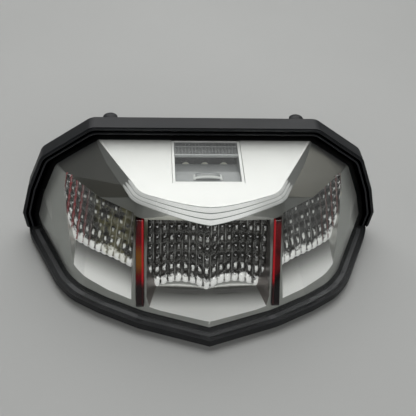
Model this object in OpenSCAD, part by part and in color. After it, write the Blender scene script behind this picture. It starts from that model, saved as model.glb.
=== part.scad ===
// Rear combination lamp for a motorcycle: a clear outer lens over a metallised bezel with three
// reflector chambers, on a black housing whose upper half carries a rubber seal.
// The lamp stands on its base. Z is up, Y points to the rear (into the machine), the front tip
// of the base points along -Y, and the lamp is symmetric about the plane X = 0.

/* [Overall] */
// Width across the rubber seal at its widest
lamp_w = 206; // [196:1:250]
// Height of the top edge of the rubber seal
lamp_h = 78; // [72:1:95]
// Depth from the front tip of the base to the rear face of the mounting bosses
lamp_d = 112; // [106:1:136]

/* [Seal outline, seen from the front] */
// Width across the top corners
top_w = 124; // [100:1:140]
// Shoulder corner: half width and height
shoulder = [90, 58.5];
// Corner half way down the side: half width and height
waist = [98.5, 37.5];
// Height of the widest corner
hip_z = 20; // [17:1:28]
// How far the foot of the seal is inside its widest corner
foot_in = 1.5; // [0:0.5:3]

/* [Base outline, seen from above] */
// First corner beside the front tip: half width and distance behind the tip
nose = [36.5, 13.2];
// Second corner: half width and distance behind the tip
chin = [57.5, 24.6];
// Third corner: half width and distance behind the tip
jaw = [72.5, 34.8];
// Fourth corner: half width and distance behind the tip
cheek = [81, 46];
// Fifth corner: half width and distance behind the tip
temple = [94, 74.5];
// How far the rear corner of the base is inside the widest corner of the seal
heel_in = 2; // [1:0.5:4]
// Radius of the corners of the base outline
base_r = 32; // [20:1:34]
// Radius of the corners of the seal
seam_r = 8; // [4:0.5:10]

/* [Rubber seal] */
// Front to back width of the seal
seal_w = 10.5; // [9:0.5:14]
// Thickness of the seal's outer wall
seal_wall = 2.2; // [1.6:0.2:3]
// Width of the lip that laps over the lens
seal_lip = 4.8; // [4:0.2:6]
// Thickness of the front lip
lip_t = 1.6; // [1.2:0.2:2.4]
// Width of each raised rib on the front lip
rib_w = 0.9; // [0.6:0.1:1.2]
// Height of the ribs
rib_h = 0.8; // [0.4:0.1:1.2]

/* [Clear lens] */
// Wall of the lens
lens_wall = 2; // [1.6:0.1:2.8]
// Thickness of the lens flange
flange_t = 2; // [1.6:0.1:3]
// Gap between the lens and the bezel inside it
lens_gap = 0.8; // [0.5:0.1:1.5]
// How far the flange edge is inside the edge of the housing rim
flange_in = 1.3; // [0.8:0.1:2]
// Width of the flange that shows outside the wall
flange_w = 3.2; // [2.5:0.1:5]

/* [Housing] */
// Height of the underside of the rim above the standing surface
rim_z = 3.5; // [2.5:0.5:6]
// Thickness of the rim
rim_t = 4; // [3:0.5:6]
// Wall of the housing
wall = 2; // [1.6:0.1:3]
// How far the lower tray is inside the edge of the rim
tray_in = 9; // [7:0.5:12]
// Thickness of the rear plate that the seal grips
plate_t = 3.5; // [3:0.5:5]
// How far the rear tub is inside the outline of the seal
tub_in = 12; // [10:0.5:14]
// How far the mounting bosses stand behind the rear tub
boss_h = 2.5; // [2:0.5:6]
// Depth of the tub behind the seal
tub_run = 9.5; // [8:0.5:12]

/* [Bezel] */
// Wall of the bezel
bezel_wall = 1.6; // [1.2:0.1:2]
// Depth of the panel's rear edge below the top of the lens
panel_drop = 0.9; // [0.6:0.1:2]
// Fall of the panel from its rear edge to its front corners
panel_fall = 4; // [2:0.5:6]
// Front corner of the panel: half width and distance behind the tip
panel_corner = [35.4, 47];
// Distance of the panel's front point behind the tip
panel_point_y = 36.2; // [34:0.5:42]
// Height of the bright brow along the panel's front edge
brow_h = 5.6; // [4:0.2:9]
// How far the lower edge of the brow spreads beyond the upper edge
brow_out = 3.6; // [2:0.2:5]

/* [Reflector chambers] */
// Height of the top of the chambers
chamber_z = 54.5; // [48:0.5:57]
// Centre plate: distance of its foot behind the tip, and height of its foot
center_foot = [36, 14];
// Backward lean of the centre plate
center_lean = 19.8; // [10:0.2:25]
// Side plate: half width, distance behind the tip and height of its reference point
side_foot = [36, 46.5, 30];
// Outward turn of the side plates
side_turn = 31; // [24:1:36]
// Backward lean of the side plates
side_lean = 16.7; // [10:0.1:22]
// Thickness of the prism plates
prism_t = 2.5; // [2:0.1:4]
// How far a prism plate laps behind the edge of its chamber
prism_lap = 1.2; // [0.8:0.1:1.6]
// Distance of the red light guides from the centre plane
fin_x = 35.5; // [34:0.5:38]
// Thickness of the red light guides
fin_t = 4.2; // [3:0.2:5]
// Clearance round the light guides
fin_clear = 0.2; // [0.1:0.1:0.4]

/* [Plate lamp] */
// Width of the plate lamp window
window_w = 37.4; // [30:0.2:44]
// Length of the window from back to front
window_l = 36.1; // [28:0.5:37]
// Distance of the window's rear edge from the front of the seal
window_back = -1.1; // [-1.3:0.1:4]
// Depth of the tray under the window
tray_depth = 13; // [10:0.5:16]
// Wall of the tray
tray_wall = 1.5; // [1.2:0.1:2]
// Clearance between the tray and the window edge
tray_clear = 0.15; // [0.1:0.05:0.3]

/* [Boards and lamps] */
// Thickness of the circuit boards
board_t = 1.6; // [1:0.1:2]
// Gap between a prism plate and its board
board_gap = 9; // [8:0.5:11]
// Diameter of a lamp chip's lens
led_d = 5; // [3:0.5:6]
// Spacing of the lamp chips
led_pitch = 10.5; // [8:0.5:12]
// Diameter of the board posts
post_d = 4.4; // [4:0.2:6]
// Diameter of the small screws
screw_d = 2.6; // [2:0.1:3]

/* [Mounting] */
// Spacing of the locating pegs
peg_pitch = 104; // [90:1:116]
// Diameter of the rubber sleeves on the locating pegs
peg_d = 8; // [7:0.5:9]
// Wall of the rubber sleeves
sleeve_t = 1.2; // [1:0.1:1.6]
// How far the domed tops of the pegs lie below the top of the seal
peg_drop = 1.4; // [0.5:0.1:2]
// Spacing of the threaded inserts
insert_pitch = 120; // [100:1:130]
// Height of the threaded inserts
insert_z = 22; // [18:1:28]
// Bore of the threaded inserts
insert_bore = 5; // [4:0.5:6]
// Outer diameter of the threaded inserts
insert_d = 8; // [7.5:0.5:10]
// Length of the threaded inserts
insert_l = 10; // [8:0.5:12]

/* [Socket] */
// Width and height of the space inside the socket
socket_in = [20, 10];
// Height of the socket's centre
socket_z = 36; // [30:1:42]
// Depth of the space inside the socket
socket_depth = 9; // [8:0.5:10]
// Wall of the socket
socket_wall = 1.8; // [1.4:0.1:2.4]

/* [Hidden] */
$fn = 48;
eps = 0.01;
far = 400;

// Levels along Y, from the front tip to the rear face
y_tip = -lamp_d / 2;
y_rear = lamp_d / 2;
y_tub = y_rear - boss_h;
y_seal = y_tub - tub_run - seal_w;
y_flange = y_seal + lip_t;
y_plate = y_flange + flange_t;
y_back = y_plate + plate_t;
y_ring = y_plate - lens_gap;

// Levels along Z
z_rim = rim_z + rim_t;
z_flange = z_rim + flange_t;
z_panel = lamp_h - seal_lip - lens_wall - panel_drop;
z_brow = z_panel - panel_fall;

function mir(p) = [for (i = [0:len(p) - 1]) i == 0 ? -p[0] : p[i]];
function both(pts) = concat(pts, [for (p = pts) if (p[0] > 0) mir(p)]);
function loop_of(half) = concat(half, [for (i = [len(half) - 1:-1:0]) if (half[i][0] > 0) mir(half[i])]);
function unit(v) = v / norm(v);
function normal_of(a, b) = unit([a[1] - b[1], b[0] - a[0]]);

// An outline moved inwards by d: every corner goes along the bisector of its two sides
function inset(pts, d) = let (n = len(pts)) [for (i = [0:n - 1])
    let (m = normal_of(pts[(i + n - 1) % n], pts[i]), k = normal_of(pts[i], pts[(i + 1) % n]))
    pts[i] + d * (m + k) / (1 + m * k)];

// Outline of the seal in X and Z, carried on below the base so that only its top and sides count
foot_x = lamp_w / 2 - foot_in;
seam = loop_of([[foot_x, -lamp_h], [foot_x, z_flange], [lamp_w / 2, hip_z], waist, shoulder,
    [top_w / 2, lamp_h]]);

// Outline of the base in X and Y, carried on behind the lamp so that only its front and sides count
heel_x = lamp_w / 2 - heel_in;
ledge = 1.2;
function behind_tip(c) = [c[0], y_tip + c[1]];
base = let (half = [[0, y_tip], behind_tip(nose), behind_tip(chin), behind_tip(jaw),
    behind_tip(cheek), behind_tip(temple), [heel_x, y_seal], [heel_x, lamp_d]])
    concat(half, [for (i = [len(half) - 1:-1:1]) mir(half[i])]);

// An outline with its corners rounded, but for the ones named as sharp
function arc_of(p, a, b, r) = let (half = acos(a * b) / 2, c = p + unit(a + b) * r / sin(half))
    [for (k = [0:0.25:1]) c + r * unit((p - c) + (a * (1 - k) + b * k) * r / tan(half))];
function soften(pts, r, sharp) = let (n = len(pts)) [for (i = [0:n - 1])
    each len([for (k = sharp) if (k == i) k]) > 0 ? [pts[i]]
        : arc_of(pts[i], unit(pts[(i + n - 1) % n] - pts[i]), unit(pts[(i + 1) % n] - pts[i]), r)];
function soft_base(d) = soften(inset(base, d), base_r, [0, 5, 7, 8, 10]);
function soft_seam(d) = soften(inset(seam, d), seam_r, [0, 1, 2, 9, 10, 11]);

module outline(pts, z0, z1) translate([0, 0, z0]) linear_extrude(z1 - z0) polygon(pts);
// The base outline moved in by d between two heights, cut off at a given depth
module footprint(d, z0, z1, y1) intersection() {
    outline(soft_base(d), z0, z1);
    translate([-far / 2, y1 - far, -far / 2]) cube(far);
}
// An upright outline between two depths, standing on a given height
module upright(pts, y0, y1, z0) intersection() {
    translate([0, y1, 0]) rotate([90, 0, 0]) linear_extrude(y1 - y0) polygon(pts);
    translate([-far / 2, -far / 2, z0]) cube(far);
}
module solid_of(pts) hull() polyhedron(pts, [for (i = [0:len(pts) - 3]) [i, i + 1, i + 2]]);

// Ring points shared by the bezel and the lens, moved out by o from the face of the bezel
bezel_in = seal_lip + lens_wall + lens_gap;
base_in = flange_in + flange_w + lens_wall + lens_gap;
function seam_ring(o, y) = let (s = soft_seam(bezel_in - o))
    [for (i = [1:len(s) / 2 - 1]) [s[i][0], y, i == 1 ? z_flange : s[i][1]]];
function base_ring(o) = [for (p = soft_base(base_in - o)) if (p[0] >= 0 && p[1] < y_tip + temple[1] + 2)
    [p[0], p[1], z_flange]];
// A free corner of the bezel moved out by o: sideways, forwards and up
function out(p, o) = [p[0] + (p[0] > 0 ? 0.6 : 0) * o, p[1] - 0.7 * o, p[2] + o];

// Free edges of the bezel: the panel's front, its brow, and the edge above the side chambers
function curve(a, b, c) = [for (k = [0:0.25:1]) a * (1 - k) * (1 - k) + b * 2 * k * (1 - k) + c * k * k];
corner_at = [panel_corner[0], y_tip + panel_corner[1]];
point_at = [0, y_tip + panel_point_y];
bend_at = corner_at - [4.2, 1.7];
function on_panel(p) = [p[0], p[1], z_panel - panel_fall * (y_ring - p[1]) / (y_ring - corner_at[1])];
panel_corner_edge = [for (p = curve(corner_at + [1.8, 3.6], corner_at, bend_at)) on_panel(p)];
panel_point_edge = [for (p = curve(bend_at, [10.8, point_at[1]], point_at)) on_panel(p)];
panel_front = concat(panel_corner_edge, [for (i = [1:len(panel_point_edge) - 1]) panel_point_edge[i]]);
brow_foot = [for (p = panel_front) let (k = p[0] / panel_front[0][0])
    p + [brow_out * k * k, -0.8 - 1.2 * k * (1 - k), -brow_h * (1.5 - 0.55 * k)]];
side_tip = [74.6, y_tip + 78.5, chamber_z];
side_mid = [57.5, y_tip + 58.5, chamber_z];
side_in = [45.3, y_tip + 50.2, chamber_z];
side_end = [34, y_tip + 41.5, chamber_z - 0.5];
brow_under = [0, y_tip + 40, z_brow - 1.5 * brow_h];

module body_solid(o, shift = 0) translate([0, shift, -shift]) solid_of(both(concat(
    seam_ring(o, y_ring), base_ring(o),
    [for (p = [side_tip, side_mid, side_in, side_end, brow_under]) out(p, o)],
    [for (p = brow_foot) out([max(p[0] - 1, 0), p[1] + 2.5, p[2]], o)])));
module brow_solid(o) let (s = inset(seam, bezel_in - o)) solid_of(both(concat(
    [[s[5][0], y_ring, s[5][1]], [s[5][0] + brow_out / 1.4, y_ring, s[5][1] - 3]],
    [for (p = concat(panel_front, brow_foot)) out(p, o)])));

// Frames of the plates: local X runs across, local Y up the plate, local Z to the front
module center_frame() translate([0, y_tip + center_foot[0], center_foot[1]])
    rotate([90 - center_lean, 0, 0]) children();
module side_frame() translate([side_foot[0], y_tip + side_foot[1], side_foot[2]])
    rotate([0, 0, side_turn]) rotate([90 - side_lean, 0, 0]) children();

// Chambers: rows of [x, y of a corner on the plate, x, y, z of the same corner at the front]
center_half = [[0, -3, 0, -10.4, 23], [26.5, -1, 30.8, -7.4, 14.6], [31.4, 13, 32, 12, 12],
    [31.4, 39, 31.4, 39, 9], [0, 40, 0, 40, 15]];
center_chamber = concat(center_half, [for (r = center_half) if (r[0] > 0) [-r[0], r[1], -r[2], r[3], r[4]]]);
side_chamber = [[3.5, -12, -9.7, -24.2, 17.2], [26, -11, 5, -22.6, 16.1], [39.5, -9.5, 17.9, -17.4, 16.3],
    [43, -4, 34.2, -15, 8.4], [46.8, 3, 44.9, 5.2, 3.5], [50, 18, 48.3, 17.7, 2.1],
    [49.6, 25.7, 49.6, 25.7, 0.4], [24, 26, 24.6, 23.4, 7.8], [8, 26, 9.9, 23.2, 8.6],
    [7, 25.5, -0.2, 21.8, 12.3]];
// The mean corner of a chamber, which its walls grow away from
function middle(rows) = [for (k = [0, 1]) let (c = [for (r = rows) r[k]]) (max(c) + min(c)) / 2];
function grown(p, c, g) = g == 0 ? p : p + 1.3 * g * unit(p - c);
function chamber_points(rows, g, z0, k) = let (c = middle(rows)) concat(
    [for (r = rows) let (p = grown([r[0], r[1]], c, g)) [p[0], p[1], z0]],
    [for (r = rows) let (p = grown([r[0], r[1]], c, g), q = grown([r[2], r[3]], c, g), f = p + (q - p) * k)
        [f[0], f[1], r[4] * k + (k > 1 ? 1 : 0)]]);
module chamber(rows, g, z0, k) solid_of(chamber_points(rows, g, z0, k));

// Side profile of a red light guide in Y and Z: foot, rear top, front top and nose
fin_profile = [[y_tip + 37, 11.8], [y_tip + 50, chamber_z - 4.5], [y_tip + 41.6, chamber_z - 1.8],
    [y_tip + 20.5, 13.5], [y_tip + 20.5, 11.8]];
module fin_plate(c) translate([fin_x - fin_t / 2 - c, 0, 0]) rotate([90, 0, 90])
    linear_extrude(fin_t + 2 * c) polygon(inset(fin_profile, -c));

// Window of the plate lamp in the panel
window_y1 = y_seal - window_back;
window_y0 = window_y1 - window_l;
window_z = z_panel - panel_fall;
panel_slope = atan(panel_fall / (y_ring - corner_at[1]));
module window_block(c, z0, z1) translate([-window_w / 2 - c, window_y0 - c, z0])
    cube([window_w + 2 * c, window_l + 2 * c, z1 - z0]);
// All that is above the panel's face, less a drop
module above_panel(drop) translate([0, y_ring, z_panel - drop]) rotate([panel_slope, 0, 0])
    translate([-far / 2, -far / 2, 0]) cube(far);
tray_z = window_z - tray_depth;

// Screw places in the floor of the housing: half width and distance behind the tip
bezel_screw_at = [[76, 74], [46, 49]];
bezel_boss_z = 17;
module at_bezel_screws() for (s = [-1, 1], p = bezel_screw_at)
    translate([s * p[0], y_tip + p[1], 0]) children();

// Boards: their posts and lamp chips in the frame of their plate
center_plate = loop_of([for (r = center_half) [r[0], r[1]]]);
side_plate = [for (i = [0, 1, 2, 4, 5, 6, 9]) [side_chamber[i][0], side_chamber[i][1]]];
center_posts = [for (x = [-27.3, 27.3], y = [15, 33]) [x, y]];
side_posts = [[8.5, 2.5], [43, 10.5], [19.5, 22]];
center_leds = [for (j = [0:2], i = [-2:2]) [i * led_pitch, 8 + j * led_pitch]];
side_leds = [for (j = [0:2], i = [0:2]) [14.5 + i * led_pitch, -4 + j * led_pitch]];
board_front = -prism_t - board_gap;
board_back = board_front - board_t;
board_in = 2.4;
screw_l = 6;
head_d = screw_d * 2;
head_h = 1.6;

// ---- Casing ----

module boss_cylinders(d, l) for (s = [-1, 1]) translate([s * insert_pitch / 2, y_rear, insert_z])
    rotate([90, 0, 0]) cylinder(d = d, h = l);
// The groove, or the bead in it: a ring along the front and sides of the rim
module seal_ring(w, z0, z1) difference() {
    outline(soft_base(flange_in + 1.6), z0, z1);
    outline(soft_base(flange_in + 1.6 + w), z0 - 1, z1 + 1);
    translate([-far / 2, y_seal, -far / 2]) cube(far);
}
bead_w = 2.4;
bead_h = 1.2;
vent_at = [-48, 46];
rib_x = [24, 78];

module housing() color([0.05, 0.05, 0.055]) difference() {
    union() {
        difference() {
            union() {
                footprint(0, rim_z, z_rim, y_back + ledge);
                footprint(tray_in, 0, z_rim, y_back + ledge - tray_in);
                upright(soft_seam(seal_wall), y_plate, y_back, rim_z);
                upright(soft_seam(tub_in), y_plate, y_tub, rim_z);
            }
            footprint(tray_in + wall, wall, z_rim + 1, y_back + ledge - tray_in - wall);
            upright(soft_seam(tub_in + wall), y_back - tray_in - wall - 1, y_tub - wall, rim_z + wall);
        }
        boss_cylinders(insert_d + 2 * wall, insert_l + wall);
        at_bezel_screws() cylinder(d = head_d + 2 * wall, h = z_rim);
        // core of the locating pegs
        for (s = [-1, 1]) translate([s * peg_pitch / 2, y_tub - peg_d / 2, lamp_h - tub_in - wall / 2])
            cylinder(d = peg_d - 2 * sleeve_t, h = tub_in + wall / 2 - peg_drop - peg_d / 4);
        // stiffening ribs on the rear face
        for (s = [-1, 1], x = rib_x) translate([s * x - wall / 2, y_tub - wall / 2, z_rim + wall])
            cube([wall, (boss_h + wall) / 2, (x > 50 ? waist[1] : shoulder[1]) - z_rim]);
        // pip on the front of the rim
        translate([0, y_tip + 2.6, rim_z + rim_t / 2]) rotate([90, 0, 0]) cylinder(d = 1.8, h = 2.4);
    }
    seal_ring(bead_w, z_rim - bead_h, z_rim + 1);
    translate([0, 1, 0]) boss_cylinders(insert_d, insert_l + 1);
    at_bezel_screws() {
        translate([0, 0, -1]) cylinder(d = screw_d + 0.4, h = z_rim + 2);
        translate([0, 0, -1]) cylinder(d = head_d + 0.6, h = head_h + 1.4);
    }
    socket_block(0, y_tub - wall - 1, y_tub + 1);
    translate([vent_at[0], y_tub - wall - 1, vent_at[1]]) rotate([-90, 0, 0]) cylinder(d = 6, h = wall + 2);
}

function lowered(pts, z) = [for (p = pts) [p[0], p[1], z]];
module lens_solid(o, shift = 0) translate([0, shift, -shift]) solid_of(both(concat(
    seam_ring(o, y_plate), base_ring(o), lowered(concat(base_ring(o), [seam_ring(o, y_plate)[0]]), z_rim),
    [for (p = concat(panel_front, brow_foot, [side_tip, side_mid])) out(p, o)])));
module lens() color([0.82, 0.87, 0.9, 0.35]) difference() {
    union() {
        lens_solid(lens_gap + lens_wall);
        intersection() {
            outline(soft_base(flange_in), z_rim, z_flange);
            translate([-far / 2, y_plate - far, 0]) cube(far);
        }
        upright(soft_seam(seal_wall), y_flange, y_plate, z_rim);
    }
    lens_solid(lens_gap, 0.6);
}

module lens_seal() color([0.16, 0.16, 0.17]) seal_ring(bead_w, z_rim - bead_h, z_rim);

module gasket() color([0.04, 0.045, 0.05]) {
    difference() {
        upright(soft_seam(0), y_seal, y_seal + seal_w, z_flange);
        upright(soft_seam(seal_lip), y_seal - 1, y_flange + eps, 0);
        upright(soft_seam(seal_wall), y_flange, y_back, 0);
        upright(soft_seam(seal_lip), y_back - eps, y_rear, 0);
    }
    for (d = [0.8, seal_lip - rib_w - 0.6]) difference() {
        upright(soft_seam(d), y_seal - rib_h, y_seal + eps, z_flange);
        upright(soft_seam(d + rib_w), y_seal - rib_h - 1, y_seal + 1, 0);
    }
}

// ---- Bezel and its chambers ----

module bezel() color([0.78, 0.78, 0.76]) difference() {
    union() {
        difference() {
            union() {
                body_solid(0);
                brow_solid(0);
            }
            body_solid(-bezel_wall, 0.6);
        }
        intersection() {
            body_solid(0);
            union() {
                center_frame() chamber(center_chamber, bezel_wall, 0, 1);
                for (s = [0, 1]) mirror([s, 0, 0]) side_frame() chamber(side_chamber, bezel_wall, 0, 1);
                at_bezel_screws() cylinder(d = 7, h = bezel_boss_z);
                // webs that join the rear bosses to the sides
                for (s = [-1, 1]) translate([s * 84 - 8, y_tip + 72, z_flange]) cube([16, 2, 7]);
            }
        }
        at_bezel_screws() translate([0, 0, z_rim]) cylinder(d = 7, h = z_flange - z_rim + 1);
    }
    center_frame() chamber(center_chamber, 0, -1, 1.4);
    for (s = [0, 1]) mirror([s, 0, 0]) {
        side_frame() chamber(side_chamber, 0, -1, 1.4);
        // slot that lets the whole width of the guide show
        hull() {
            fin_plate(fin_clear);
            translate([0, -3, 2]) fin_plate(fin_clear);
        }
    }
    window_block(tray_clear, tray_z - 1, lamp_h);
    at_bezel_screws() cylinder(d = screw_d, h = bezel_boss_z - 1);
}

module prism_plate(shape, posts) difference() {
    union() {
        translate([0, 0, -prism_t]) linear_extrude(prism_t) polygon(inset(shape, -prism_lap));
        for (p = posts) translate([p[0], p[1], board_front]) cylinder(d = post_d, h = board_gap + eps);
    }
    for (p = posts) translate([p[0], p[1], board_front - 1]) cylinder(d = screw_d, h = screw_l + 1);
}
module board(shape, posts) translate([0, 0, board_back]) difference() {
    linear_extrude(board_t) polygon(inset(shape, board_in - prism_lap));
    for (p = posts) translate([p[0], p[1], -1]) cylinder(d = screw_d, h = board_t + 2);
}
module led_chips(places, base_z) for (p = places) translate([p[0], p[1], base_z]) {
    cylinder(d = led_d, h = led_d * 0.6);
    translate([0, 0, led_d * 0.6]) intersection() {
        sphere(d = led_d);
        cylinder(d = led_d, h = led_d);
    }
}
module screws(places) for (p = places) translate([p[0], p[1], board_back]) {
    translate([0, 0, -head_h]) cylinder(d = head_d, h = head_h);
    cylinder(d = screw_d, h = board_t + screw_l - 0.5);
}

module prism_center() color([0.9, 0.9, 0.9]) center_frame() prism_plate(center_plate, center_posts);
module prism_right() color([0.9, 0.9, 0.9]) side_frame() prism_plate(side_plate, side_posts);
module prism_left() mirror([1, 0, 0]) prism_right();
module fin_right() color([0.7, 0.05, 0.05]) fin_plate(0);
module fin_left() mirror([1, 0, 0]) fin_right();

// ---- Plate lamp ----

cover_y = window_y1 - 12.3;
module plate_tray() color([0.55, 0.55, 0.55]) difference() {
    window_block(0, tray_z, z_panel);
    above_panel(0.4);
    difference() {
        window_block(-tray_wall, tray_z + tray_wall, lamp_h);
        // two steps towards the front
        window_steps(14.9, 2.8);
        window_steps(26.1, 5.8);
    }
    for (x = [-1:1]) translate([x * led_pitch, cover_y + 6, tray_z - 1]) cylinder(d = led_d + 0.4, h = 4);
}
module window_steps(l, drop) translate([-window_w / 2, window_y0, tray_z])
    cube([window_w, l, window_z - drop - tray_z]);
module plate_cover() color([0.85, 0.88, 0.9, 0.5]) difference() {
    translate([-window_w / 2 + tray_wall, cover_y, window_z])
        cube([window_w - 2 * tray_wall, window_y1 - tray_wall - cover_y, 5]);
    above_panel(1);
}
module plate_optic() color([0.85, 0.88, 0.9, 0.5]) translate([0, window_y0 + 6.6, window_z - 2.8])
    intersection() {
        translate([-8, 0, 0]) cube([16, 5.4, 6]);
        translate([0, 0, -8.4]) rotate([-90, 0, 0]) cylinder(r = 11.6, h = 5.4);
    }
module board_plate() color([0.1, 0.25, 0.15]) translate([-window_w / 2, window_y0, tray_z - board_t])
    cube([window_w, window_l, board_t]);
module leds_white() color([0.9, 0.9, 0.85])
    led_chips([for (x = [-1:1]) [x * led_pitch, cover_y + 6]], tray_z);

// ---- Boards ----

module board_tail() color([0.1, 0.25, 0.15]) center_frame() board(center_plate, center_posts);
module board_turn_right() color([0.1, 0.25, 0.15]) side_frame() board(side_plate, side_posts);
module board_turn_left() mirror([1, 0, 0]) board_turn_right();
module leds_red() color([0.7, 0.05, 0.05]) center_frame() led_chips(center_leds, board_front);
module leds_amber_right() color([0.85, 0.5, 0.1]) side_frame() led_chips(side_leds, board_front);
module leds_amber_left() mirror([1, 0, 0]) leds_amber_right();
module driver_chips() color([0.08, 0.08, 0.08]) center_frame()
    for (x = [-12, 12]) translate([x - 4, 16, board_back - 1.6]) cube([8, 6, 1.6]);
module resistors() color([0.1, 0.1, 0.12]) center_frame()
    for (x = [-16:8:16], y = [6, 28]) translate([x - 1.6, y, board_back - 0.8]) cube([3.2, 1.6, 0.8]);
module board_screws() color([0.7, 0.7, 0.7]) {
    center_frame() screws(center_posts);
    for (s = [0, 1]) mirror([s, 0, 0]) side_frame() screws(side_posts);
}
module bezel_screws() color([0.7, 0.7, 0.7]) at_bezel_screws() {
    translate([0, 0, 0.4]) cylinder(d = head_d, h = head_h);
    translate([0, 0, 0.4]) cylinder(d = screw_d, h = bezel_boss_z - 3);
}

// ---- Rear fittings ----

module socket_block(c, y0, y1) let (size = socket_in / 2 + [socket_wall - c, socket_wall - c])
    translate([-size[0], y0, socket_z - size[1]]) cube([2 * size[0], y1 - y0, 2 * size[1]]);
module at_pins() for (i = [-1:1], j = [-1, 1]) translate([i * 5.5, 0, socket_z + j * 2.5]) children();
pin_w = 1.4;
module pin_bars(y0, y1) at_pins() translate([-pin_w / 2, y0, -0.4]) cube([pin_w, y1 - y0, 0.8]);
socket_floor = y_rear - socket_depth;

module socket() color([0.07, 0.07, 0.08]) difference() {
    socket_block(0, socket_floor - 2, y_rear);
    socket_block(socket_wall, socket_floor, y_rear + 1);
    pin_bars(socket_floor - 3, socket_floor + 1);
}
module socket_pins() color([0.8, 0.65, 0.3]) pin_bars(socket_floor - 5, y_rear - 3);
module socket_seal() color([0.3, 0.3, 0.3]) difference() {
    socket_block(-1.6, y_tub, y_tub + 1.4);
    socket_block(0, y_tub - 1, y_tub + 3);
}
module vent_cap() color([0.1, 0.1, 0.1]) translate([vent_at[0], y_tub, vent_at[1]]) rotate([-90, 0, 0]) {
    cylinder(d = 12, h = boss_h - 0.4);
    translate([0, 0, -wall]) cylinder(d = 6, h = wall);
}
cap_h = 1.6;
cap_r = (peg_d * peg_d / 4 + cap_h * cap_h) / 2 / cap_h;
module peg_sleeves() color([0.05, 0.05, 0.05]) for (s = [-1, 1])
    translate([s * peg_pitch / 2, y_tub - peg_d / 2, 0]) difference() {
        union() {
            translate([0, 0, lamp_h - tub_in]) cylinder(d = peg_d, h = tub_in - peg_drop - cap_h);
            // low dome on top
            intersection() {
                translate([0, 0, lamp_h - peg_drop]) cylinder(d = peg_d, h = 2 * cap_h, center = true);
                translate([0, 0, lamp_h - peg_drop - cap_r]) sphere(r = cap_r);
            }
        }
        translate([0, 0, lamp_h - tub_in - 1])
            cylinder(d = peg_d - 2 * sleeve_t, h = tub_in + 1 - peg_drop - peg_d / 4);
    }
module inserts() color([0.75, 0.6, 0.3]) difference() {
    boss_cylinders(insert_d, insert_l);
    translate([0, 1, 0]) boss_cylinders(insert_bore, insert_l + 2);
}

housing();
lens();
lens_seal();
gasket();
bezel();
prism_center();
prism_left();
prism_right();
fin_left();
fin_right();
plate_tray();
plate_cover();
plate_optic();
board_tail();
board_turn_left();
board_turn_right();
board_plate();
leds_red();
leds_amber_left();
leds_amber_right();
leds_white();
driver_chips();
resistors();
socket();
socket_pins();
socket_seal();
vent_cap();
peg_sleeves();
inserts();
board_screws();
bezel_screws();
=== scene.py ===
from math import radians
import bpy
import bmesh
import numpy as np
from mathutils import Matrix, Vector


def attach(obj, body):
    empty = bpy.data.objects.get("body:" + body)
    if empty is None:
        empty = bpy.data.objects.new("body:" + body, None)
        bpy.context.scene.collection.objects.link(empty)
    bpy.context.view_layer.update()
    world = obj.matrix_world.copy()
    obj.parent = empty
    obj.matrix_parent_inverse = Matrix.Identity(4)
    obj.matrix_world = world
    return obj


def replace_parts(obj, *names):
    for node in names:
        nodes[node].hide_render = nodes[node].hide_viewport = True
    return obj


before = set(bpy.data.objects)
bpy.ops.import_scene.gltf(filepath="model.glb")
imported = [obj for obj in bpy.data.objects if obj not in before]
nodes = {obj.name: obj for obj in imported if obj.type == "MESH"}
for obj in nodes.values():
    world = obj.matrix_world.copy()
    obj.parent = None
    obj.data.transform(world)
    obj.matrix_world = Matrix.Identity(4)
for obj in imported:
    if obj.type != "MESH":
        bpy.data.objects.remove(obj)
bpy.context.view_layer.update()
mm = 0.001
print("frame loaded:", len(nodes), "parts")


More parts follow.
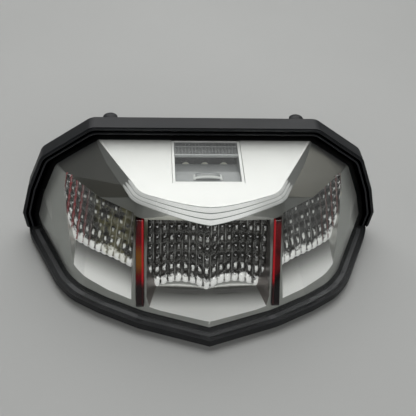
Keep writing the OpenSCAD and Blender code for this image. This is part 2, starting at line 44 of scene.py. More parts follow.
# One shader socket. Sums written on it add their Math nodes.
class Wire:
    def __init__(self, tree, socket=None):
        self.tree = tree
        self.socket = socket

    # any node: its settings first, then the values or wires of its sockets
    def node(self, kind, settings=None, sockets=None, out=0):
        made = self.tree.nodes.new(kind)
        for name, value in (settings or {}).items():
            if name == "stops":
                ramp = made.color_ramp
                ramp.elements.remove(ramp.elements[1])
                ramp.elements[0].position, ramp.elements[0].color = value[0]
                for place, colour in value[1:]:
                    ramp.elements.new(place).color = colour
            else:
                setattr(made, name, value)
        for key, value in (sockets or {}).items():
            if isinstance(value, Wire):
                self.tree.links.new(value.socket, made.inputs[key])
            else:
                made.inputs[key].default_value = value
        return Wire(self.tree, made.outputs[out] if len(made.outputs) else None)

    def maths(self, operation, *terms):
        return self.node("ShaderNodeMath", {"operation": operation}, dict(enumerate(terms)))

    def __add__(self, other):
        return self.maths("ADD", self, other)

    def __radd__(self, other):
        return self.maths("ADD", other, self)

    def __sub__(self, other):
        return self.maths("SUBTRACT", self, other)

    def __rsub__(self, other):
        return self.maths("SUBTRACT", other, self)

    def __mul__(self, other):
        return self.maths("MULTIPLY", self, other)

    def __rmul__(self, other):
        return self.maths("MULTIPLY", other, self)

    def __truediv__(self, other):
        return self.maths("DIVIDE", self, other)

    def __pow__(self, other):
        return self.maths("POWER", self, other)

    def absolute(self):
        return self.maths("ABSOLUTE", self)

    def capped(self):
        return self.node("ShaderNodeClamp", {}, {"Value": self})

    def fraction(self):
        return self.maths("FRACT", self)

    def whole(self):
        return self.maths("FLOOR", self)

    # 0 below low, 1 above high, smooth between
    def rise(self, low, high):
        return self.node("ShaderNodeMapRange", {"interpolation_type": "SMOOTHSTEP"},
                         {"Value": self, "From Min": low, "From Max": high})

    # one of x, y, z of a vector
    def part(self, which):
        return self.node("ShaderNodeSeparateXYZ", {}, {0: self}, which)

    # one of x, y, z of a place, in millimetres
    def axis(self, which):
        return self.part(which) * 1000.0

    # the way the surface faces, in the object's own directions
    def tilt(self):
        return self.node("ShaderNodeTexCoord", {}, {}, 1)

    def noise(self, scale, detail=2.0, rough=0.5, stretch=(1, 1, 1)):
        moved = self.node("ShaderNodeMapping", {}, {"Vector": self, "Scale": stretch})
        return self.node("ShaderNodeTexNoise", {}, {"Vector": moved, "Scale": scale, "Detail": detail,
                                                    "Roughness": rough})

    def blend(self, low, high):
        mixed = self.tree.nodes.new("ShaderNodeMix")
        mixed.data_type = "RGBA"
        for place, value in ((0, self), (6, low), (7, high)):
            if isinstance(value, Wire):
                self.tree.links.new(value.socket, mixed.inputs[place])
            else:
                mixed.inputs[place].default_value = tuple(value) + (1,) * (4 - len(value))
        return Wire(self.tree, mixed.outputs[2])

    def bump(self, strength, distance):
        return self.node("ShaderNodeBump", {}, {"Height": self, "Strength": strength, "Distance": distance})


# a new finish: its material, and the place of each point as a wire
def newFinish(name):
    made = bpy.data.materials.new(name)
    made.use_nodes = True
    made.node_tree.nodes.clear()
    place = Wire(made.node_tree).node("ShaderNodeTexCoord", {}, {}, 3)
    return made, place


def finishWith(made, shade):
    shade.node("ShaderNodeOutputMaterial", {}, {"Surface": shade})
    return made


def principled(place, **sockets):
    named = {key.replace("_", " "): value for key, value in sockets.items()}
    return place.node("ShaderNodeBsdfPrincipled", {}, named)


def addObject(name, mesh, material, body="root"):
    made = bpy.data.objects.new(name, mesh)
    bpy.context.scene.collection.objects.link(made)
    mesh.materials.clear()
    mesh.materials.append(material)
    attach(made, body)
    return made


# quads between neighbouring rows and columns of a grid of points
def gridFaces(rows, columns, wrapRows=False, wrapColumns=False):
    i, j = np.meshgrid(np.arange(rows if wrapRows else rows - 1),
                       np.arange(columns if wrapColumns else columns - 1), indexing="ij")
    k, l = (i + 1) % rows, (j + 1) % columns
    return np.stack([i * columns + j, k * columns + j, k * columns + l, i * columns + l], -1).reshape(-1, 4)


def meshOf(name, points, faces, smooth=True):
    mesh = bpy.data.meshes.new(name)
    mesh.from_pydata(np.asarray(points, float).reshape(-1, 3) * mm, [], np.asarray(faces).tolist())
    mesh.polygons.foreach_set("use_smooth", np.full(len(mesh.polygons), smooth))
    mesh.update()
    return mesh


# turns every face of a closed mesh outwards
def outward(mesh):
    work = bmesh.new()
    work.from_mesh(mesh)
    bmesh.ops.remove_doubles(work, verts=work.verts, dist=1e-7)
    bmesh.ops.recalc_face_normals(work, faces=work.faces)
    work.to_mesh(mesh)
    work.free()


# a copy of a part with its flat faces joined and its edges rounded
def softCopy(name, node, material, size):
    mesh = nodes[node].data.copy()
    work = bmesh.new()
    work.from_mesh(mesh)
    bmesh.ops.remove_doubles(work, verts=work.verts, dist=2e-6)
    bmesh.ops.dissolve_limit(work, angle_limit=radians(size["flat"]), verts=work.verts, edges=work.edges)
    work.to_mesh(mesh)
    work.free()
    mesh.polygons.foreach_set("use_smooth", np.ones(len(mesh.polygons), bool))
    made = addObject(name, mesh, material)
    rounding = made.modifiers.new("rounding", "BEVEL")
    rounding.width = size["round"] * mm
    rounding.segments = size["steps"]
    rounding.limit_method = "ANGLE"
    rounding.angle_limit = radians(size["edge"])
    rounding.miter_outer = "MITER_ARC"
    rounding.harden_normals = False
    shading = made.modifiers.new("shading", "WEIGHTED_NORMAL")
    shading.keep_sharp = True
    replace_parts(made, node)
    return made


# the bezel's tones, most of them painted light and shade by facing and by place, and the places in
# millimetres where they change
satinTones = {
    "level": ((0.82, 0.82, 0.80), (0.91, 0.905, 0.89)),
    "shoulder": ((0.235, 0.225, 0.195), (0.31, 0.30, 0.265)),
    "side": ((0.45, 0.455, 0.435), (0.56, 0.565, 0.54)), "under": (0.10, 0.095, 0.06),
    "shade": (0.085, 0.085, 0.08), "rear": (0.52, 0.52, 0.50), "wall": (0.17, 0.135, 0.13),
    "hollow_shade": ((0.085, 0.075, 0.03), (0.15, 0.14, 0.13)),
}
satinPlaces = {
    "pocketTop": (50, 56), "shadeReach": (3.0, 18.0), "panelFront": (-10, 34), "panelLevel": (58, 64),
    "hollowFoot": (38, 46), "hollowHalf": (56, 66), "wallHalf": (36, 38), "wallTop": (46, 50),
}


# level faces are sand-blasted, steep ones smoother; level faces are painted pale as lit from above, steep
# faces painted darker and downward faces darkest as shade
def satinSilver(tones, places):
    made, place = newFinish("satin metallised")
    x, y, z = place.axis(0), place.axis(1), place.axis(2)
    width = x.absolute()
    sideways = place.tilt().part(0).absolute()
    upness = place.tilt().part(2)
    level = upness.rise(0.885, 0.955)
    cloud = place.noise(38, 3, 0.55)
    grain = place.noise(2600, 2, 0.6)
    specks = place.noise(900, 2, 0.6)
    # how far a floor point is from its optic plate: the back of each floor is painted dark as the shadow of
    # the brow and optic, the front pale
    turned = width.rise(34.5, 35.5)
    far = (-20.0 - y) * (1 - turned) + ((width - 36) * 0.515 - (y + 9.5) * 0.857) * turned
    pocket = (1 - z.rise(*places["pocketTop"])) * upness.rise(0.50, 0.70)
    shade = (1 - far.rise(*places["shadeReach"])) * pocket
    pale = (cloud * 0.6 + specks * 0.4).blend(*tones["level"])
    steep_shaded = upness.rise(0.55, 0.80).blend(cloud.blend(*tones["side"]), cloud.blend(*tones["shoulder"]))
    under = (1 - upness.rise(-0.15, 0.05)) * 0.8
    tone = level.blend(under.blend(steep_shaded, tones["under"]), pale)
    tone = (shade * 0.92).blend(tone, tones["shade"])
    # painted shade: the panel is a little darker towards the rear
    rear = y.rise(*places["panelFront"]) * z.rise(*places["panelLevel"]) * level
    tone = (rear * 0.55).blend(tone, tones["rear"])
    # painted shade: the space beneath the panel is dark, olive on the left and grey on the right, and the
    # side walls of the middle pocket are dark
    hollow_shade = z.rise(*places["hollowFoot"]) * (1 - upness.rise(0.45, 0.60))
    hollow_shade = hollow_shade * (1 - width.rise(*places["hollowHalf"]))
    tone = (hollow_shade * 0.88).blend(tone, x.rise(-20, 20).blend(*tones["hollow_shade"]))
    wall = sideways.rise(0.5, 0.7) * (1 - width.rise(*places["wallHalf"])) * (1 - z.rise(*places["wallTop"]))
    tone = (wall * 0.75).blend(tone, tones["wall"])
    rough = 0.24 + 0.24 * level + 0.08 * cloud + 0.05 * grain
    metal = 1.0 - 0.42 * level - 0.30 * (1 - upness.rise(0.45, 0.75)) - 0.28 * pocket
    blasted = (grain * 0.7 + specks * 0.3) * (0.25 + 0.75 * level)
    skin = principled(place, Base_Color=tone, Metallic=metal, Roughness=rough,
                      Normal=blasted.bump(0.25, 0.00008))
    return finishWith(made, skin)


# polished lip: white bands with thin dark green lines of painted shade between the reeds, painted shade low
# on its ends, and a painted glow
def brightChrome():
    made, place = newFinish("bright lip")
    bands = Wire(place.tree).node("ShaderNodeUVMap", {"uv_map": "cells"}, {})
    w = bands.part(1)
    x = place.axis(0)
    cloud = place.noise(60, 2, 0.5)
    beat = ((w * 3).fraction() * 2 - 1).absolute()
    groove = beat.rise(0.72, 0.97)
    middle = 1 - x.absolute().rise(14, 34)
    tone = cloud.blend((0.86, 0.86, 0.85), (0.95, 0.95, 0.94))
    # painted shade: the lower half of the lip away from the middle is darker
    tone = (w.rise(0.45, 1.0) * (1 - middle) * 0.45).blend(tone, (0.36, 0.36, 0.35))
    # painted shade in the grooves between the reeds, tinted dark green
    tone = (groove * (0.55 + 0.35 * middle)).blend(tone, (0.035, 0.07, 0.05))
    # painted glow standing in for reflected light, strongest in the middle
    painted_glow = (middle * 0.75 + 0.25).blend((0, 0, 0), tone)
    skin = principled(place, Base_Color=tone, Metallic=0.15, Roughness=0.22 + 0.08 * cloud, Coat_Weight=0.5,
                      Coat_Roughness=0.05, Emission_Color=painted_glow, Emission_Strength=0.34,
                      Normal=place.noise(180, 2, 0.5).bump(0.04, 0.0004))
    return finishWith(made, skin)


def mouldedBlack():
    made, place = newFinish("moulded black")
    grain = place.noise(1500, 3, 0.6)
    cloud = place.noise(45, 3, 0.6)
    dust = place.noise(320, 4, 0.7).rise(0.56, 0.80)
    tone = (dust * 0.35 + cloud * 0.1).blend((0.0080, 0.0085, 0.0100), (0.034, 0.035, 0.038))
    shade = principled(place, Base_Color=tone, Roughness=0.40 + 0.14 * cloud + 0.08 * grain,
                       Specular_IOR_Level=0.32, Normal=grain.bump(0.30, 0.00012))
    return finishWith(made, shade)


def sealRubber():
    made, place = newFinish("seal rubber")
    grain = place.noise(1100, 3, 0.6)
    cloud = place.noise(30, 3, 0.6)
    dust = place.noise(240, 4, 0.7).rise(0.55, 0.80)
    tone = (dust * 0.30 + cloud * 0.25).blend((0.006, 0.007, 0.0085), (0.020, 0.023, 0.027))
    shade = principled(place, Base_Color=tone, Roughness=0.44 + 0.15 * cloud, Specular_IOR_Level=0.35,
                       Normal=grain.bump(0.35, 0.00014))
    return finishWith(made, shade)


# clear wall: mostly see-through, glossy by the angle of view, hazier in its welded edge
def clearWall(name, tint, gloss, edgeHaze):
    made, place = newFinish(name)
    z = place.axis(2)
    cloud = place.noise(26, 3, 0.5)
    wave = place.noise(55, 2, 0.5).bump(0.05, 0.0006)
    surface = principled(place, Base_Color=cloud.blend((0.30, 0.31, 0.31), (0.42, 0.43, 0.43)),
                         Roughness=0.05 + 0.05 * cloud, IOR=1.5, Specular_IOR_Level=0.8, Normal=wave)
    through = place.node("ShaderNodeBsdfTransparent", {}, {"Color": tint})
    edge = place.node("ShaderNodeFresnel", {}, {"IOR": 1.45, "Normal": wave})
    low = 1 - z.rise(9.7, 10.6)
    upness = place.tilt().part(2)
    # painted highlight: the tilted faces of the flange's rounded edge show more of the glossy grey surface
    corner = upness.rise(0.45, 0.55) * (1 - upness.rise(0.62, 0.74))
    part = edge * gloss + low * (edgeHaze * (0.7 + 0.6 * cloud) + corner * 0.4)
    part = part.capped()
    mixed = place.node("ShaderNodeMixShader", {}, {0: part, 1: through, 2: surface})
    return finishWith(made, mixed)


# bar over the plate lamp: see-through, with painted highlights whitening its front and rear edges
def clearCover():
    made, place = newFinish("clear bar")
    x, y = place.axis(0), place.axis(1)
    cloud = place.noise(120, 3, 0.6)
    # painted highlight along the front and rear edges
    rim = (y - 27.7).absolute().rise(4.5, 5.2)
    ribs = (x * 0.55).fraction().rise(0.86, 0.95) * 0.25
    surface = principled(place, Base_Color=cloud.blend((0.50, 0.51, 0.51), (0.66, 0.67, 0.67)),
                         Roughness=0.06 + 0.08 * cloud, IOR=1.5, Specular_IOR_Level=0.8)
    through = place.node("ShaderNodeBsdfTransparent", {}, {"Color": (0.86, 0.87, 0.87, 1)})
    part = (0.10 + 0.14 * cloud + rim * 0.75 + ribs).capped()
    return finishWith(made, place.node("ShaderNodeMixShader", {}, {0: part, 1: through, 2: surface}))


# arched optic: grey glass with white outlines that are painted highlights
def arcGlass():
    made, place = newFinish("arc optic")
    x, y = place.axis(0), place.axis(1)
    fine = place.noise(500, 2, 0.6)
    across = (y - 7.8).absolute()    # from the middle of the arch
    # painted highlight: white lines along the crown edges and the ends
    line = across.rise(1.2, 1.5) * (1 - across.rise(2.0, 2.3)) + x.absolute().rise(6.2, 6.9)
    tone = line.capped().blend(fine.blend((0.16, 0.17, 0.17), (0.30, 0.31, 0.31)), (0.92, 0.93, 0.91))
    skin = principled(place, Base_Color=tone, Roughness=0.08 + 0.08 * fine, Coat_Weight=0.6,
                      Normal=fine.bump(0.1, 0.0001))
    return finishWith(made, skin)


# where the painted red and amber LED reflections at the ends begin, how strong the painted olive reflection
# on the left plate is, and how faint the painted glints of the calm rows are
middleCells = {"reflectionEnds": (200, 220), "oliveReflection": 0.0, "calm": 0.3, "calmRows": (3.6, 4.6)}
sideCells = {"reflectionEnds": (60, 72), "oliveReflection": 1.0, "calm": 0.9, "calmRows": (2, 3)}


# lens optics over a dark board: each cell is dark; the pale seams, the white lowest rows and the ragged
# bright spots are painted highlights with a faint painted glow, and the red and amber ends are painted LED
# reflections
def pillowOptic(name, size):
    made, place = newFinish(name)
    x = place.axis(0)
    cells = Wire(place.tree).node("ShaderNodeUVMap", {"uv_map": "cells"}, {})
    s, t = (cells.part(k) for k in (0, 1))
    u = (s.fraction() * 2 - 1).absolute()
    v = t.fraction()
    each = cells.node("ShaderNodeCombineXYZ", {}, {0: s.whole(), 1: t.whole()})
    chance = cells.node("ShaderNodeTexWhiteNoise", {"noise_dimensions": "2D"}, {"Vector": each})
    fine = place.noise(520, 2, 0.6)
    ragged = place.noise(290, 3, 0.7) - 0.5
    row, across = t + ragged * 1.3, u + ragged * 1.1
    broken = place.noise(160, 2, 0.6).rise(0.42, 0.60)
    # painted highlights: pale seams, the white lowest rows, the second row and the glints
    seam_highlight = u.rise(0.78, 0.97) * broken * (0.16 + 0.30 * chance)
    foot = (1 - row.rise(0.58, 0.95)) * (1 - across.rise(0.62, 0.95))
    rim = 1 - t.rise(0.05, 0.13)
    second_row_highlight = row.rise(1.28, 1.48) * (1 - row.rise(1.72, 1.95)) * (1 - across.rise(0.22, 0.48))
    painted_glint = v.rise(0.36, 0.50) * (1 - v.rise(0.60, 0.78)) * (1 - across.rise(0.14, 0.42))
    painted_glint = painted_glint * chance.rise(0.35, 0.8)
    painted_glint = painted_glint * (size["calm"] + (1 - size["calm"]) * t.rise(*size["calmRows"]))
    bright = (foot + rim + second_row_highlight * 0.85 + seam_highlight + painted_glint * 0.85).capped()
    # painted reflections of the red LEDs at the left end, and of the red and amber LEDs at the right end
    outer = x.absolute().rise(*size["reflectionEnds"])
    leftLedReflection, rightLedReflection = outer * (1 - x.rise(-1, 1)), outer * x.rise(-1, 1)
    dark = (fine * 0.6 + chance * 0.4).blend((0.013, 0.012, 0.0115), (0.062, 0.057, 0.052))
    dark = (leftLedReflection * u.rise(0.45, 0.85)).blend(dark, (0.36, 0.010, 0.018))
    dark = (rightLedReflection * u.rise(0.60, 0.90) * 0.6).blend(dark, (0.22, 0.020, 0.012))
    white = (rightLedReflection * chance.rise(0.3, 0.6) * x.rise(74, 80)).blend((0.95, 0.95, 0.93), (0.90, 0.50, 0.06))
    tone = bright.blend(dark, white)
    # painted reflection of the amber board: an olive tint on the left plate
    oliveReflection = (-1 * x).rise(36, 44) * (1 - (-1 * x).rise(54, 64)) * size["oliveReflection"]
    tone = (oliveReflection * broken * 0.30).blend(tone, (0.50, 0.46, 0.20))
    # painted glow standing in for reflected light in the lowest rows, the second row and the glints
    painted_glow = ((foot + rim).capped() * 0.9 + second_row_highlight * 0.4 + painted_glint * 0.25).capped().blend((0, 0, 0), white)
    skin = principled(place, Base_Color=tone, Metallic=0.05, Roughness=0.10 + 0.10 * fine, IOR=1.55,
                      Specular_IOR_Level=0.8, Coat_Weight=0.8, Coat_Roughness=0.04,
                      Emission_Color=painted_glow, Emission_Strength=0.30, Normal=fine.bump(0.10, 0.0003))
    return finishWith(made, skin)


# red guide: nearly black, the left one amber half way, with a painted red reflection and a faint painted glow
# along its inner side
def redGuide():
    made, place = newFinish("red guide")
    x, y, z = place.axis(0), place.axis(1), place.axis(2)
    cloud = place.noise(70, 3, 0.6)
    streak = place.noise(60, 2, 0.5, (1, 0.25, 1))
    innerRedReflection = 1 - (x.absolute() - 34.1).absolute().rise(0.25, 0.75)
    amber = z.rise(26, 33) * (1 - z.rise(36, 43)) * (1 - x.rise(-1, 1))
    tone = streak.rise(0.44, 0.62).blend((0.010, 0.001, 0.0015), (0.15, 0.003, 0.006))
    tone = (amber * 0.8).blend(tone, (0.26, 0.10, 0.012))
    tone = (innerRedReflection * 0.85).blend(tone, (0.55, 0.012, 0.02))
    # the lowest part is darker, with no red reflection and no glow
    toe = 1 - z.rise(21, 26)
    tone = (toe * 0.94).blend(tone, (0.012, 0.012, 0.013))
    painted_glow = (innerRedReflection * (1 - toe)).blend((0, 0, 0), (0.5, 0.01, 0.015))
    skin = principled(place, Base_Color=tone, Roughness=0.10 + 0.08 * cloud, Coat_Weight=0.5,
                      Emission_Color=painted_glow, Emission_Strength=0.12)
    return finishWith(made, skin)


def plainPlastic(name, dark, light, rough, metal=0.0, grainSize=900, grainDepth=0.2):
    made, place = newFinish(name)
    grain = place.noise(grainSize, 3, 0.6)
    cloud = place.noise(60, 3, 0.6)
    tone = (cloud * 0.75 + grain * 0.25).blend(dark, light)
    shade = principled(place, Base_Color=tone, Metallic=metal, Roughness=rough + 0.10 * cloud + 0.06 * grain,
                       Normal=grain.bump(grainDepth, 0.0001))
    return finishWith(made, shade)


# plate lamp tray: grey steps, the rim level with the panel painted pale as lit, and the back painted dark as
# the shadow of the rear wall
def trayPlastic():
    made, place = newFinish("tray grey")
    y, z = place.axis(1), place.axis(2)
    cloud = place.noise(60, 3, 0.6)
    grain = place.noise(900, 3, 0.6)
    panel = 66.3 + (y + 9) * (4 / 45.3)
    # painted light on the rim level with the panel, and painted shadow of the rear wall at the back
    rim = (z - panel).rise(-1.3, -0.7)
    deep = y.rise(20, 31)
    tone = (cloud * 0.7 + grain * 0.3).blend((0.26, 0.27, 0.27), (0.40, 0.41, 0.41))
    tone = (deep * 0.92).blend(tone, (0.012, 0.012, 0.013))
    tone = rim.blend(tone, (0.88, 0.88, 0.86))
    skin = principled(place, Base_Color=tone, Metallic=0.2, Roughness=0.30 + 0.10 * cloud,
                      Normal=grain.bump(0.2, 0.0001))
    return finishWith(made, skin)


def solderMask():
    made, place = newFinish("solder mask")
    x, y, z = place.axis(0), place.axis(1), place.axis(2)
    weave = place.noise(500, 2, 0.6)
    tracks = (x * 0.9 + y * 0.35).fraction().rise(0.62, 0.70)
    tone = (tracks * 0.45).blend((0.008, 0.055, 0.028), (0.02, 0.14, 0.07))
    shade = principled(place, Base_Color=tone, Roughness=0.32 + 0.1 * weave, Coat_Weight=0.3,
                       Normal=(tracks * 0.5 + weave * 0.3).bump(0.2, 0.0001))
    return finishWith(made, shade)


satin = satinSilver(satinTones, satinPlaces)
chrome = brightChrome()
blackPlastic = mouldedBlack()
rubber = sealRubber()
clearLens = clearWall("clear lens", (0.99, 0.995, 0.99, 1), 0.15, 0.05)
clearBar = clearCover()
arcClear = arcGlass()
beadGrey = plainPlastic("seal bead", (0.05, 0.05, 0.055), (0.09, 0.09, 0.095), 0.45)
optic = pillowOptic("pillow optic", middleCells)
sideOptic = pillowOptic("side pillow optic", sideCells)
guide = redGuide()
trayGrey = trayPlastic()
boardGreen = solderMask()
ledRed = plainPlastic("led red", (0.35, 0.01, 0.01), (0.5, 0.02, 0.02), 0.12, 0, 300, 0.05)
ledAmber = plainPlastic("led amber", (0.6, 0.22, 0.02), (0.75, 0.32, 0.04), 0.12, 0, 300, 0.05)
ledWhite = plainPlastic("led white", (0.62, 0.62, 0.50), (0.78, 0.78, 0.70), 0.15, 0, 300, 0.05)
chipBlack = plainPlastic("chip black", (0.012, 0.012, 0.013), (0.03, 0.03, 0.032), 0.45)
socketBlack = plainPlastic("socket plastic", (0.012, 0.012, 0.014), (0.028, 0.028, 0.031), 0.38)
pinMetal = plainPlastic("pin metal", (0.60, 0.55, 0.44), (0.74, 0.70, 0.60), 0.22, 0.95, 500, 0.1)
brass = plainPlastic("insert brass", (0.56, 0.42, 0.18), (0.72, 0.56, 0.28), 0.26, 0.95, 500, 0.12)
steel = plainPlastic("screw steel", (0.46, 0.46, 0.47), (0.62, 0.62, 0.63), 0.28, 0.95, 500, 0.12)
print("finishes made")


def giveFinish(node, material):
    mesh = nodes[node].data
    mesh.materials.clear()
    mesh.materials.append(material)


# parts that keep their shape
kept = {
    "lens_seal": beadGrey,
    "board_tail": boardGreen, "board_turn_left": boardGreen, "board_turn_right": boardGreen,
    "board_plate": boardGreen, "leds_red": ledRed, "leds_amber_left": ledAmber,
    "leds_amber_right": ledAmber, "leds_white": ledWhite, "driver_chips": chipBlack,
    "resistors": chipBlack, "socket_pins": pinMetal, "socket_seal": beadGrey,
    "inserts": brass, "board_screws": steel, "bezel_screws": steel,
}
for node, material in kept.items():
    giveFinish(node, material)

# parts with rounded edges: finish, slot, and the rounding in millimetres and degrees
softParts = {
    "housing": (blackPlastic, "housing_plastic", {"round": 0.45, "steps": 2, "edge": 30, "flat": 1.0}),
    "lens": (clearLens, "clear_lens", {"round": 0.9, "steps": 3, "edge": 12, "flat": 0.5}),
    "gasket": (rubber, "seal_rubber", {"round": 0.28, "steps": 2, "edge": 30, "flat": 0.5}),
    "bezel": (satin, "satin_metallised", {"round": 0.35, "steps": 3, "edge": 14, "flat": 0.5}),
    "plate_tray": (trayGrey, "tray_grey", {"round": 0.25, "steps": 2, "edge": 30, "flat": 0.5}),
    "plate_cover": (clearBar, "clear_optic", {"round": 0.3, "steps": 2, "edge": 30, "flat": 0.5}),
    "fin_left": (guide, "red_guide", {"round": 0.35, "steps": 2, "edge": 30, "flat": 0.5}),
    "fin_right": (guide, "red_guide", {"round": 0.35, "steps": 2, "edge": 30, "flat": 0.5}),
    "socket": (socketBlack, "socket_plastic", {"round": 0.3, "steps": 2, "edge": 30, "flat": 0.5}),
    "vent_cap": (socketBlack, "socket_plastic", {"round": 0.3, "steps": 2, "edge": 30, "flat": 1.0}),
    "peg_sleeves": (rubber, "seal_rubber", {"round": 0.2, "steps": 2, "edge": 40, "flat": 0.2}),
}
for node, (material, slot, size) in softParts.items():
    softCopy(node + "_piece", node, material, size)
print("rounded parts made")


# the place of points of a plate: turned about x by its lean, then about z, then moved, mirrored for the left
def plateFrame(size, points, side=1):
    lean, turn = radians(90 - size["lean"]), radians(size["turn"])
    turned = Matrix.Rotation(turn, 4, "Z") @ Matrix.Rotation(lean, 4, "X")
    matrix = np.array(Matrix.Translation(Vector(size["foot"])) @ turned)
    moved = points @ matrix[:3, :3].T + matrix[:3, 3]
    moved[..., 0] *= side
    return moved


# a closed slab: a grid of points, the same grid moved by shift, and a wall round them
def slab(name, front, rear, cells=None):
    n, m = front.shape[:2]
    count = n * m
    faces = gridFaces(n, m)
    rim = np.concatenate([np.arange(m), m - 1 + m * np.arange(1, n), (n - 1) * m + np.arange(m - 2, -1, -1),
                          m * np.arange(n - 2, 0, -1)])
    after = np.roll(rim, -1)
    wall = np.stack([rim, after, after + count, rim + count], -1)
    mesh = meshOf(name, np.concatenate([front.reshape(-1, 3), rear.reshape(-1, 3)]),
                  np.concatenate([faces, faces[:, ::-1] + count, wall]))
    if cells is not None:
        flat = np.concatenate([cells.reshape(-1, 2)] * 2)
        corners = np.zeros(len(mesh.loops), int)
        mesh.loops.foreach_get("vertex_index", corners)
        mesh.uv_layers.new(name="cells").data.foreach_set("uv", flat[corners].ravel())
    outward(mesh)
    mesh.set_sharp_from_angle(angle=radians(50))
    return mesh


# pillow cells: height = bulge * (1 - u^2)(1 - v^2)^0.6 in each cell, and the rows follow the foot line
def pillowPlate(name, size, material, side=1):
    columns, rows, fine = size["columns"], size["rows"], size["fine"]
    s, t = np.meshgrid(np.linspace(0, columns, columns * fine + 1), np.linspace(0, rows, rows * fine + 1),
                       indexing="ij")
    x = size["left"] + (size["right"] - size["left"]) * s / columns
    foot = np.interp(x, *zip(*size["footLine"]))
    top = np.interp(x, *zip(*size["topLine"]))
    u = 2 * (s - np.floor(np.minimum(s, columns - 1e-6))) - 1
    v = 2 * (t - np.floor(np.minimum(t, rows - 1e-6))) - 1
    y = foot - size["scallop"] * (1 - u ** 2) * np.clip(1 - t, 0, 1) + (top - foot) * t / rows
    z = size["level"] + size["bulge"] * (1 - u ** 2) * (1 - v ** 2) ** 0.6
    front = plateFrame(size, np.stack([x, y, z], -1), side)
    rear = plateFrame(size, np.stack([x, y, np.full_like(z, size["back"])], -1), side)
    made = addObject(name, slab(name, front, rear, np.stack([s, t], -1)), material)
    return made


centerPlate = {
    "foot": (0, -20, 14), "lean": 19.8, "turn": 0,
    "left": -32.2, "right": 32.2, "columns": 17, "rows": 7, "fine": 6,
    "footLine": [(-32.2, -2.0), (-26, -1.0), (-20, 1.0), (-14, 1.6), (-7, 0.2), (0, -3.6),
                 (7, 0.2), (14, 1.6), (20, 1.0), (26, -1.0), (32.2, -2.0)],
    "topLine": [(-32.2, 39.5), (32.2, 39.5)],
    "scallop": 0.7, "level": 0.05, "bulge": 1.1, "back": -2.4,
}
sidePlate = {
    "foot": (36, -9.5, 30), "lean": 16.7, "turn": 31,
    "left": 2.6, "right": 50.4, "columns": 12, "rows": 6, "fine": 6,
    "footLine": [(2.6, -12.4), (13, -11.2), (27, -11), (39.5, -9.5), (46.8, 3), (50.4, 18)],
    "topLine": [(2.6, 26.4), (24, 26.6), (50.4, 26.6)],
    "scallop": 0.7, "level": 0.05, "bulge": 1.0, "back": -2.4,
}
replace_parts(pillowPlate("center_optic", centerPlate, optic), "prism_center")
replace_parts(pillowPlate("left_optic", sidePlate, sideOptic, -1), "prism_left")
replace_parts(pillowPlate("right_optic", sidePlate, sideOptic), "prism_right")
print("optic plates made")


# the apron lies between the floor of the middle pocket and the arches of its optic
# across: x; down: a quarter bend, y = arch + (floor - arch)(1 - (1 - q)^2), z = start + depth * q^2
def archApron(size):
    x, q = np.meshgrid(np.linspace(-size["half"], size["half"], 61), np.linspace(0, 1, 13), indexing="ij")
    arch = np.interp(x, *zip(*centerPlate["footLine"])) + size["lap"]
    floorLine = np.interp(np.abs(x), *zip(*size["floorLine"]))
    y = arch + (floorLine - arch) * (1 - (1 - q) ** 2)
    z = size["start"] + size["depth"] * q ** 2
    front = plateFrame(centerPlate, np.stack([x, y, z], -1))
    rear = plateFrame(centerPlate, np.stack([x, y - size["thick"], z * 0 - 0.4], -1))
    made = addObject("arch_apron", slab("arch_apron", front, rear), satin)
    return made


apron = {
    "half": 27.5, "lap": 0.3, "start": 0.2, "depth": 4.2, "thick": 0.3,
    "floorLine": [(0, -4.7), (26.5, -3.3), (30, -2.9)],
}
archApron(apron)

windowArc = {"half": 7.9, "y": 7.8, "deep": 4.6, "rise": 3.0, "seat": 63.5}


# arched optic in the plate window, a ridge along x with a rounded section along y
# height = rise * (1 - (x / half)^2)^0.5 above its seat
def arcOptic(size):
    a, b = np.meshgrid(np.linspace(-1, 1, 41), np.linspace(0, 1, 17), indexing="ij")
    x = size["half"] * a
    y = size["y"] + size["deep"] * (b - 0.5)
    crown = size["rise"] * np.sqrt(np.clip(1 - a ** 2, 0, 1))
    z = size["seat"] + crown * (0.25 + 0.75 * np.sin(np.pi * b) ** 0.5)
    front = np.stack([x, y, z], -1)
    rear = np.stack([x, y, np.full_like(z, size["seat"] - 0.02)], -1)
    made = addObject("arc_optic", slab("arc_optic", front, rear), arcClear)
    return made


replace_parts(arcOptic(windowArc), "plate_optic")

# bright reeded lip along the front of the panel, sizes in millimetres
lip = {
    "corner": (35.4, -9.0), "point": (0.0, -19.8), "bend": (31.2, -10.7), "pull": (10.8, -19.8),
    "start": (37.2, -5.4), "top": (57.8, 36.0), "topFoot": (2.6, 0.0, -3.0),
    "backY": 36.3, "cornerY": -9.0, "panelZ": 70.3, "fall": 4.0,
    "out": 3.6, "drop": 5.6, "longer": 0.32, "reeds": 3, "reedHeight": 0.16, "clear": 0.08, "thick": 0.5,
}


def bendThrough(a, b, c, count):
    k = np.linspace(0, 1, count)[:, None]
    return np.array(a) * (1 - k) ** 2 + np.array(b) * 2 * k * (1 - k) + np.array(c) * k ** 2


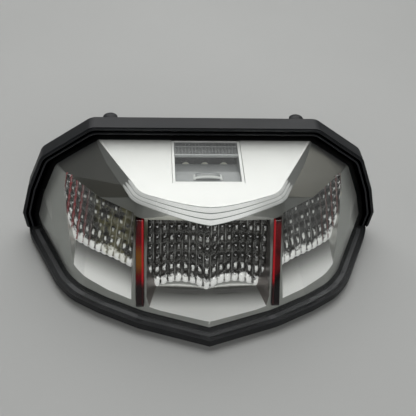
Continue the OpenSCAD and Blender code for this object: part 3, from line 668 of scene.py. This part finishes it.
# edge of the panel from one rear corner round the front to the middle, then mirrored
def browLip(size):
    side = bendThrough(size["top"], (np.array(size["top"]) + size["start"]) / 2, size["start"], 24)
    turn = bendThrough(size["start"], size["corner"], size["bend"], 14)[1:]
    front = bendThrough(size["bend"], size["pull"], size["point"], 26)[1:]
    half = np.concatenate([side, turn, front])
    rise = size["panelZ"] - size["fall"] * (size["backY"] - half[:, 1]) / (size["backY"] - size["cornerY"])
    edge = np.concatenate([half, rise[:, None]], 1)
    k = np.clip(half[:, 0] / size["start"][0], 0, 1)[:, None]
    reach = [size["out"] * k ** 2, -0.8 - 1.2 * k * (1 - k), -size["drop"] * (1.5 - 0.55 * k)]
    foot = edge + np.concatenate(reach, 1)
    along = np.clip((np.arange(len(half)) / (len(side) - 1)), 0, 1)[:, None]
    topFoot = edge + np.array(size["topFoot"])
    foot = topFoot * (1 - along) + foot * along
    foot = edge + (foot - edge) * (1 + size["longer"] * (1 - k))
    edge = np.concatenate([edge, edge[-2::-1] * (-1, 1, 1)])
    foot = np.concatenate([foot, foot[-2::-1] * (-1, 1, 1)])
    w = np.linspace(0, 1, 37)[None, :, None]
    face = edge[:, None] + (foot - edge)[:, None] * w
    run = np.gradient(edge, axis=0)
    out = np.cross(foot - edge, run)
    out /= np.linalg.norm(out, axis=1, keepdims=True)
    out *= np.where(out[:, 1:2] > 0, -1, 1)
    height = size["clear"] + size["reedHeight"] * np.abs(np.sin(size["reeds"] * np.pi * w)) ** 0.7
    front = face + out[:, None] * height
    rear = face - out[:, None] * size["thick"]
    cells = np.stack(np.meshgrid(np.linspace(0, 1, len(edge)), w[0, :, 0], indexing="ij"), -1)
    made = addObject("brow_lip", slab("brow_lip", front, rear, cells), chrome)
    return made


browLip(lip)
print("apron and lip made")


floorSize = {"half": 3.0}    # metres
floorMesh = bpy.data.meshes.new("floor")
corner = floorSize["half"]
floorCorners = [(-corner, -corner, 0), (corner, -corner, 0), (corner, corner, 0), (-corner, corner, 0)]
floorMesh.from_pydata(floorCorners, [], [(0, 1, 2, 3)])
floorPiece = bpy.data.objects.new("floor", floorMesh)
bpy.context.scene.collection.objects.link(floorPiece)
floorPaint, place = newFinish("pale floor")
mottle = place.noise(5, 3, 0.5)
# painted light: the floor glows more the farther it lies from the middle, keeping the far floor pale
away = place.node("ShaderNodeVectorMath", {"operation": "LENGTH"}, {0: place}, 1)
floorMesh.materials.append(finishWith(floorPaint, principled(
    place, Base_Color=mottle.blend((0.40, 0.405, 0.395), (0.45, 0.455, 0.445)), Roughness=0.62 + 0.1 * mottle,
    Emission_Color=away.rise(0.5, 2.6).blend((0, 0, 0), (0.34, 0.345, 0.335)), Emission_Strength=1.0)))


# a soft light of a given size and power, aimed at a point
def softLight(name, at, aim, size, power):
    lamp = bpy.data.lights.new(name, "AREA")
    lamp.shape = "RECTANGLE"
    lamp.size, lamp.size_y = size
    lamp.energy = power
    made = bpy.data.objects.new(name, lamp)
    made.location = at
    made.rotation_euler = (Vector(aim) - Vector(at)).to_track_quat("-Z", "Y").to_euler()
    bpy.context.scene.collection.objects.link(made)


softLight("back box", (0.0, 0.62, 0.66), (0, 0, 0.05), (1.1, 0.62), 4.2)
softLight("top box", (0.0, 0.12, 0.95), (0, 0, 0.05), (0.9, 0.55), 4.2)
softLight("right box", (0.95, 0.42, 0.80), (0, 0, 0.05), (0.5, 0.5), 0.6)
softLight("front box", (0.05, -0.85, 0.60), (0, 0, 0.04), (0.8, 0.4), 3.0)

world = bpy.data.worlds.new("studio")
bpy.context.scene.world = world
world.use_nodes = True
world.node_tree.nodes.clear()
sky = Wire(world.node_tree)
lighting = sky.node("ShaderNodeBackground", {}, {"Color": (0.80, 0.82, 0.80, 1), "Strength": 0.09})
backdrop = sky.node("ShaderNodeBackground", {}, {"Color": (0.80, 0.82, 0.80, 1), "Strength": 0.45})
seen = sky.node("ShaderNodeLightPath")
mixed = sky.node("ShaderNodeMixShader", {}, {0: seen, 1: lighting, 2: backdrop})
sky.node("ShaderNodeOutputWorld", {}, {"Surface": mixed})
bpy.context.scene.view_settings.view_transform = "Standard"

shot = {"target": (0.94, 5.55, 45.03), "distance": 423.0, "elevation": 38.0, "swing": -4.5, "lens": 68.0}
lift, swing = radians(shot["elevation"]), radians(shot["swing"])
back = Vector((np.sin(swing), -np.cos(swing) * np.cos(lift), np.cos(swing) * np.sin(lift)))
upward = Vector((0, np.sin(lift), np.cos(lift)))
right = upward.cross(back)
camera = bpy.data.cameras.new("camera")
camera.lens = shot["lens"]
camera.sensor_width = 36
camera.clip_start = 0.01
eye = bpy.data.objects.new("camera", camera)
eye.matrix_world = Matrix((right, upward, back)).transposed().to_4x4()
eye.location = Vector(shot["target"]) * mm + back * shot["distance"] * mm
bpy.context.scene.collection.objects.link(eye)
bpy.context.scene.camera = eye
print("stage set")

bpy.context.view_layer.update()
